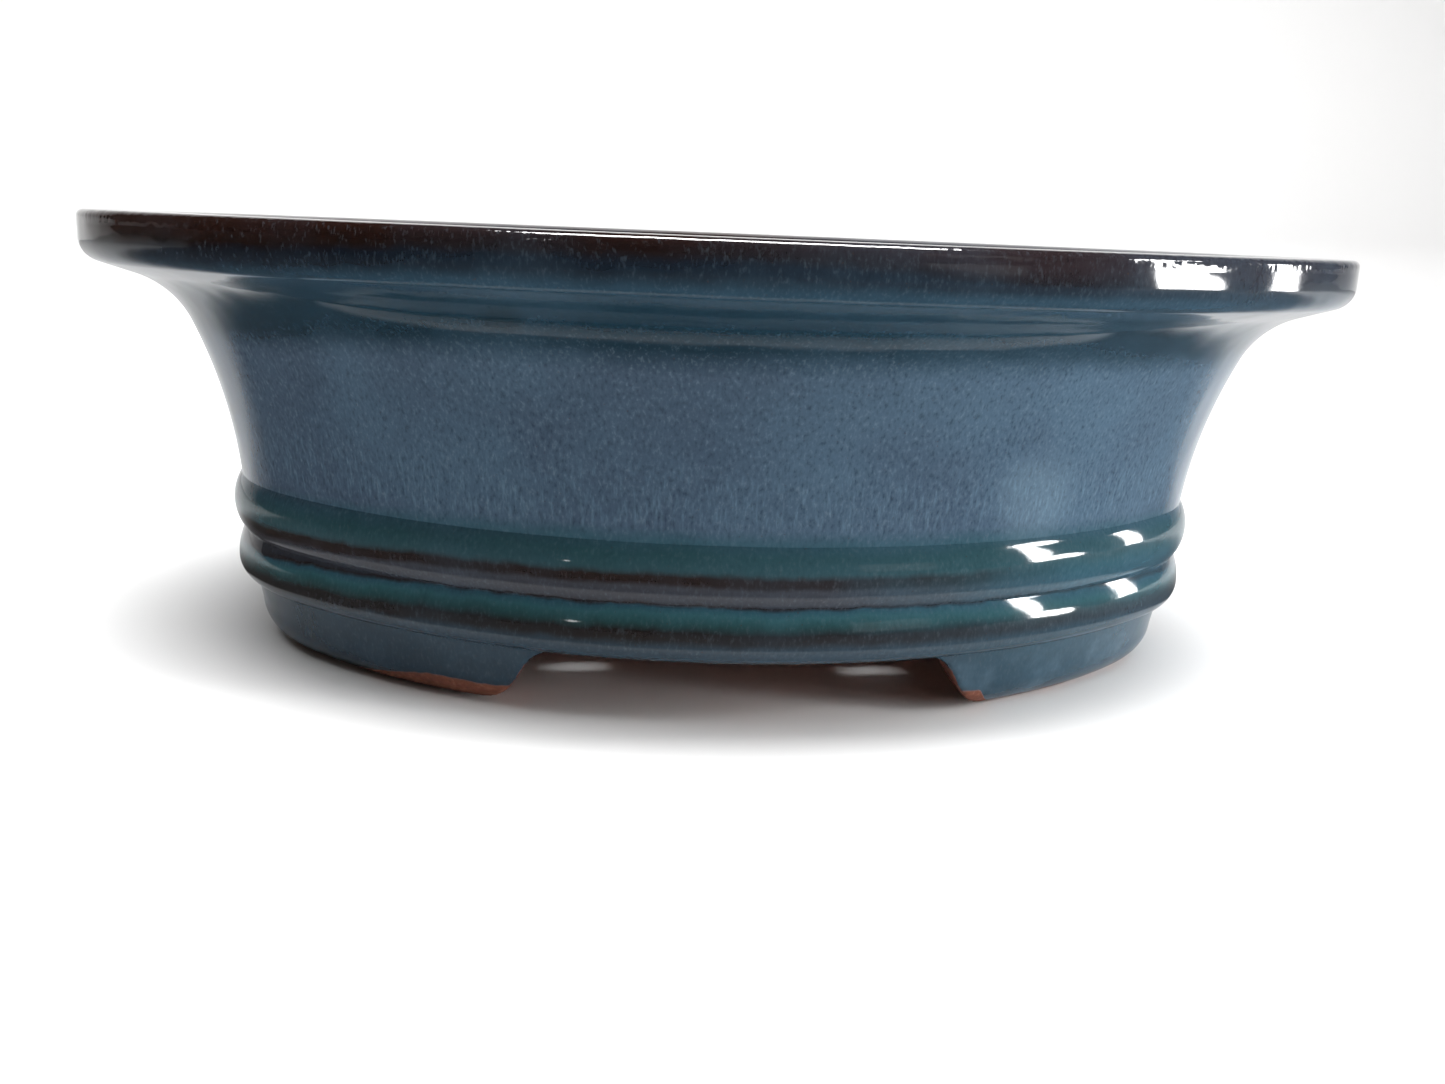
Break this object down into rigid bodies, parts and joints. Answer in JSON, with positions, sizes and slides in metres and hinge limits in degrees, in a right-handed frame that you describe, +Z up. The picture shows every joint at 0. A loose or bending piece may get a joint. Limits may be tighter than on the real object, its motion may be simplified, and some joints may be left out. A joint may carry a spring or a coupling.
{
  "type": "bonsai pot",
  "caption": "Oval glazed stoneware bonsai pot with an overhanging lip, half-round bands round its base, cut-out feet, and netted drain holes.",
  "frame": {"origin": "on the table under the middle of the pot", "axes": "+X along the oval's long axis towards the right end, +Y towards the back, +Z up"},
  "size_m": [0.3, 0.236, 0.099],
  "materials": {
    "glaze": "glossy",
    "bare_clay": "matte",
    "screen": "matte",
    "clip_wire": "satin"
  },
  "bodies": {
    "root": {"rim_lip": "glaze", "wall": "glaze", "upper_band": "glaze", "lower_band": "glaze", "bowl_floor": "bare_clay", "foot_front_left": "glaze", "foot_front_right": "glaze", "foot_back_left": "glaze", "foot_back_right": "glaze", "drain_screen_left": "screen", "drain_screen_right": "screen", "screen_clip_left": "clip_wire", "screen_clip_right": "clip_wire"}
  },
  "joints": []
}
